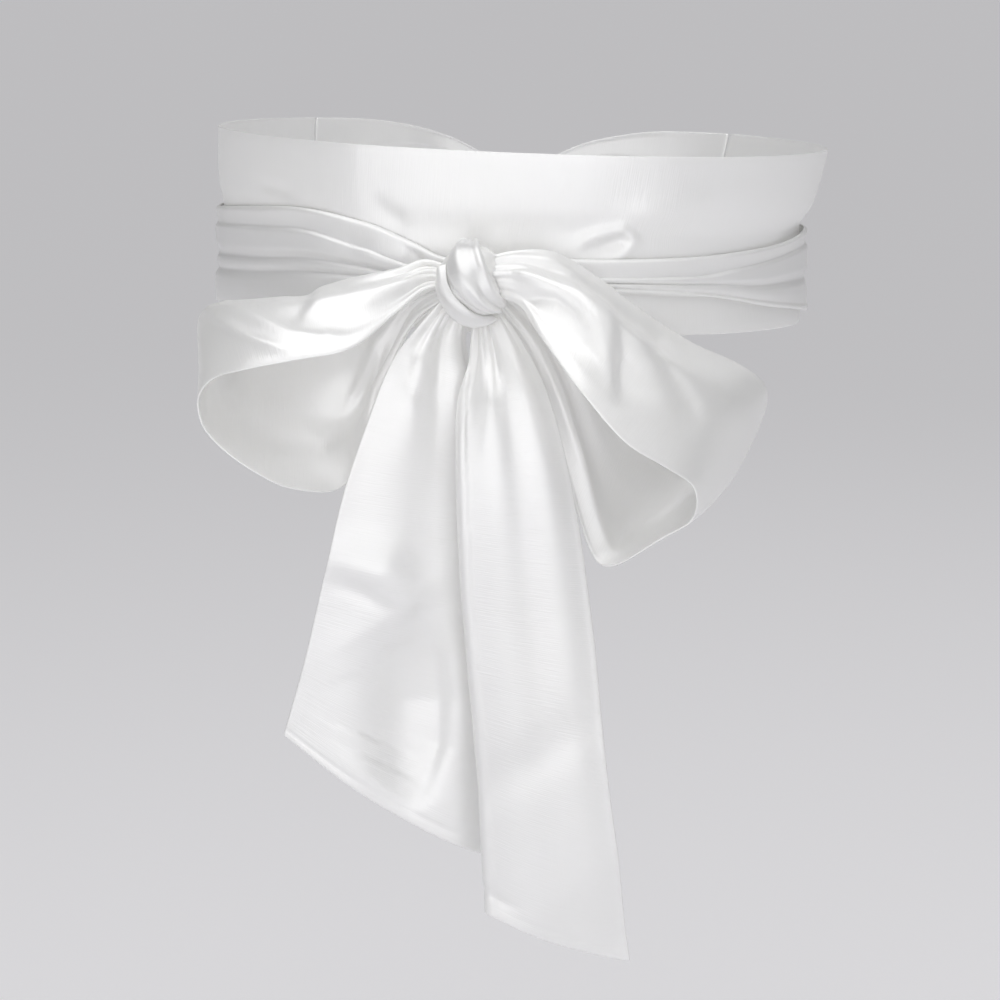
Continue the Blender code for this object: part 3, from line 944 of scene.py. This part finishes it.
def satin_material(look):
    """White satin: fine ribs and uneven slubs across the ribbon, and a soft directional shine."""
    material = bpy.data.materials.new(SATIN)
    material.use_nodes = True
    tree = material.node_tree
    links = tree.links
    shader = tree.nodes["Principled BSDF"]
    set_sockets(shader, SATIN_SHEEN)
    tangent = node(tree, "ShaderNodeTangent", direction_type="UV_MAP", uv_map="cloth")
    links.new(tangent.outputs[0], shader.inputs["Tangent"])
    links.new(tone_clouds(tree, look.colour).outputs[0], shader.inputs["Base Color"])
    slubs, rib = woven_textures(tree, look.rib_pitch)
    rough = node(tree, "ShaderNodeMapRange")
    rough.inputs["To Min"].default_value = look.roughness + ROUGHNESS_RANGE[0]
    rough.inputs["To Max"].default_value = look.roughness + ROUGHNESS_RANGE[1]
    links.new(slubs.outputs["Fac"], rough.inputs["Value"])
    links.new(rough.outputs[0], shader.inputs["Roughness"])
    slub_bump = bump(tree, SLUB_BUMP, slubs)
    rib_bump = bump(tree, RIB_BUMP, rib, slub_bump)
    links.new(rib_bump.outputs[0], shader.inputs["Normal"])
    return material


def floor_material(look):
    """A pale floor that gives off a little light, so that it looks lit from end to end."""
    material = bpy.data.materials.new("studio floor")
    material.use_nodes = True
    shader = material.node_tree.nodes["Principled BSDF"]
    shader.inputs["Base Color"].default_value = look.floor_colour
    shader.inputs["Roughness"].default_value = FLOOR_ROUGHNESS
    shader.inputs["Emission Color"].default_value = look.floor_colour
    shader.inputs["Emission Strength"].default_value = look.floor_glow / look.floor_colour[0]
    return material


class BELT_OT_satin(bpy.types.Operator):
    """Make the satin that every stretch of the sash is cut from"""

    bl_idname = "belt.satin"
    bl_label = "Satin"

    def execute(self, context):
        satin_material(context.scene.belt_satin)
        return {"FINISHED"}


class BELT_OT_panel(bpy.types.Operator):
    """Lay the middle of the sash round the front of the waist"""

    bl_idname = "belt.panel"
    bl_label = "Front panel"

    def execute(self, context):
        place = panel_place(context.scene.belt_sizes)
        obj = cloth(
            "front_panel_cloth", (216, 44), place, front_folds(PANEL_FOLDS), length=0.5,
            dense=(0.45, 0.3),
        )
        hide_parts("front_panel")
        return {"FINISHED"}


class BELT_OT_ties(bpy.types.Operator):
    """Bring the two ties across the back and round the sides to the knot"""

    bl_idname = "belt.ties"
    bl_label = "Ties"

    def execute(self, context):
        left_place = tie_place(LEFT_TIE, LEFT_TIE_LINES, LEFT_TIE_SWELLS, 1)
        right_place = tie_place(RIGHT_TIE, RIGHT_TIE_LINES, RIGHT_TIE_SWELLS, -1)
        left_folds = front_folds(LEFT_TIE_FOLDS)
        left = cloth("left_tie_cloth", (170, 48), left_place, left_folds, length=0.43)
        right = cloth("right_tie_cloth", (170, 44), right_place, length=0.45)
        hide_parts("left_tie")
        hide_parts("right_tie")
        return {"FINISHED"}


class BELT_OT_loops(bpy.types.Operator):
    """Puff out the bow's two loops"""

    bl_idname = "belt.loops"
    bl_label = "Loops"

    def execute(self, context):
        left_folds = loop_folds(LEFT_LOOP_UPPER_FOLDS, LEFT_LOOP_LOWER_FOLDS, 1)
        left = cloth(
            "left_loop_cloth", (140, 54), loop_place(LEFT_LOOP, 1), left_folds, length=0.22,
            knots=(0, 1),
        )
        right_folds = loop_folds(RIGHT_LOOP_UPPER_FOLDS, RIGHT_LOOP_LOWER_FOLDS, -1)
        right = cloth(
            "right_loop_cloth", (150, 54), loop_place(RIGHT_LOOP, -1), right_folds, length=0.26,
            knots=(0, 1),
        )
        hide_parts("left_loop")
        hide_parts("right_loop")
        return {"FINISHED"}


class BELT_OT_tails(bpy.types.Operator):
    """Hang the two tails from the knot"""

    bl_idname = "belt.tails"
    bl_label = "Tails"

    def execute(self, context):
        hem = context.scene.belt_sizes.hem_depth
        left_length, right_length = 0.22, 0.26

        def left_folds(u, v, at):
            return fold_lift(LEFT_TAIL_FOLDS, at.x, at.z) + hem_line(u, left_length, hem)

        def right_folds(u, v, at):
            lift = fold_lift(RIGHT_TAIL_FOLDS, at.x, at.z) + tip_lift(RIGHT_TAIL_TIP, at.x, at.z)
            return lift + hem_line(u, right_length, hem)

        left = cloth(
            "left_tail_cloth", (150, 50), tail_place(LEFT_TAIL, LEFT_TAIL_SAG), left_folds,
            length=left_length, knots=(0,),
        )
        right = cloth(
            "right_tail_cloth", (160, 54), tail_place(RIGHT_TAIL, RIGHT_TAIL_SAG), right_folds,
            length=right_length, knots=(0,),
        )
        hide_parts("left_tail")
        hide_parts("right_tail")
        return {"FINISHED"}


class BELT_OT_knot(bpy.types.Operator):
    """Wind the cloth round the knot"""

    bl_idname = "belt.knot"
    bl_label = "Knot"

    def execute(self, context):
        bm = bmesh.new()
        uv = bm.loops.layers.uv.new("cloth")
        bmesh.ops.create_uvsphere(bm, u_segments=64, v_segments=40, radius=1.0)
        for face in bm.faces:
            for loop in face.loops:
                at = loop.vert.co
                loop[uv].uv = (math.atan2(at.y, at.x) * CORE_CLOTH[0], at.z * CORE_CLOTH[1])
        for vertex in bm.verts:
            turn = math.atan2(vertex.co.z, vertex.co.y)
            pleats = 1.0 - CORE_PLEAT_DEPTH * math.sin(CORE_PLEATS * turn)
            vertex.co = (KNOT_CENTRE + vertex.co * pleats * KNOT_HALF) * MM
        core = put("knot_core_cloth", bm, bpy.data.materials[SATIN])
        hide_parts("knot_core")
        band = cloth("knot_band_cloth", (60, 26), band_place, length=0.04, width=0.016)
        under = cloth("knot_underwrap_cloth", (50, 20), underwrap_place, length=0.04, width=0.012)
        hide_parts("knot_band")
        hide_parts("knot_underwrap")
        return {"FINISHED"}


def make_floor(look):
    """A wide floor below the belt."""
    bm = bmesh.new()
    bmesh.ops.create_grid(bm, x_segments=1, y_segments=1, size=FLOOR_HALF)
    mesh = bpy.data.meshes.new("floor")
    bm.to_mesh(mesh)
    bm.free()
    mesh.transform(Matrix.Translation((0, 0, look.floor_height)))
    mesh.materials.append(floor_material(look))
    floor = bpy.data.objects.new("floor", mesh)
    bpy.context.scene.collection.objects.link(floor)
    return floor


def area_light(row, look):
    """A wide soft light that the camera doesn't see."""
    light = bpy.data.lights.new(row["name"], "AREA")
    light.shape = "RECTANGLE"
    light.size, light.size_y = row["size"]
    light.energy = getattr(look, row["power"])
    obj = bpy.data.objects.new(row["name"], light)
    obj.location = row["place"]
    aim = Vector(row["target"]) - Vector(row["place"])
    obj.rotation_euler = aim.to_track_quat("-Z", "Y").to_euler()
    obj.visible_camera = False
    bpy.context.scene.collection.objects.link(obj)
    return obj


def pass_by(light, obj):
    """Keep an object out of a light, so that the light's edge draws no line on it."""
    passed_by = bpy.data.collections.new("passed_by_" + light.name)
    passed_by.objects.link(obj)
    passed_by.collection_objects[0].light_linking.link_state = "EXCLUDE"
    light.light_linking.receiver_collection = passed_by


def light_room(look):
    """Even white light from all round."""
    world = bpy.data.worlds.new("room")
    world.use_nodes = True
    background = world.node_tree.nodes["Background"]
    background.inputs["Color"].default_value = (1.0, 1.0, 1.0, 1.0)
    background.inputs["Strength"].default_value = look.room_light
    bpy.context.scene.world = world


def place_camera():
    """The camera at the photo's angle."""
    lens = bpy.data.cameras.new("camera")
    lens.sensor_width = SENSOR
    lens.lens = LENS
    camera = bpy.data.objects.new("camera", lens)
    camera.location = CAMERA_PLACE
    camera.rotation_euler = (math.radians(90.0 - CAMERA_PITCH), 0.0, 0.0)
    bpy.context.scene.collection.objects.link(camera)
    bpy.context.scene.camera = camera


class BELT_OT_stage(bpy.types.Operator):
    """Set up the floor, the lights and the camera"""

    bl_idname = "belt.stage"
    bl_label = "Studio"

    def execute(self, context):
        look = context.scene.belt_studio
        floor = make_floor(look)
        lights = {row["name"]: area_light(row, look) for row in LIGHTS}
        pass_by(lights["key"], floor)
        light_room(look)
        context.scene.view_settings.view_transform = "Standard"
        place_camera()
        return {"FINISHED"}


class BELT_PT_panel(bpy.types.Panel):
    """The belt's sizes, looks and pieces"""

    bl_idname = "BELT_PT_panel"
    bl_label = "Ribbon belt"
    bl_space_type = "VIEW_3D"
    bl_region_type = "UI"
    bl_category = "Ribbon belt"

    def draw(self, context):
        for group_name in GROUPS:
            group = getattr(context.scene, group_name)
            box = self.layout.box()
            for name in group.bl_rna.properties.keys():
                if name not in ("rna_type", "name"):
                    box.prop(group, name)
        for operator in PIECES:
            self.layout.operator(operator.bl_idname)


PIECES = (
    BELT_OT_satin,
    BELT_OT_panel,
    BELT_OT_ties,
    BELT_OT_loops,
    BELT_OT_tails,
    BELT_OT_knot,
    BELT_OT_stage,
)
GROUPS = {"belt_sizes": BeltSizes, "belt_satin": SatinLook, "belt_studio": StudioLook}


def register():
    """Add the property groups, operators and panel to Blender."""
    for cls in (*GROUPS.values(), *PIECES, BELT_PT_panel):
        bpy.utils.register_class(cls)
    for name, group in GROUPS.items():
        setattr(bpy.types.Scene, name, bpy.props.PointerProperty(type=group))


def unregister():
    """Take them out again."""
    for name in GROUPS:
        delattr(bpy.types.Scene, name)
    for cls in reversed((*GROUPS.values(), *PIECES, BELT_PT_panel)):
        bpy.utils.unregister_class(cls)


def main():
    """Build the belt and its studio."""
    register()
    bpy.ops.belt.satin()
    bpy.ops.belt.panel()
    bpy.ops.belt.ties()
    bpy.ops.belt.loops()
    bpy.ops.belt.tails()
    bpy.ops.belt.knot()
    bpy.ops.belt.stage()


if __name__ == "__main__":
    main()
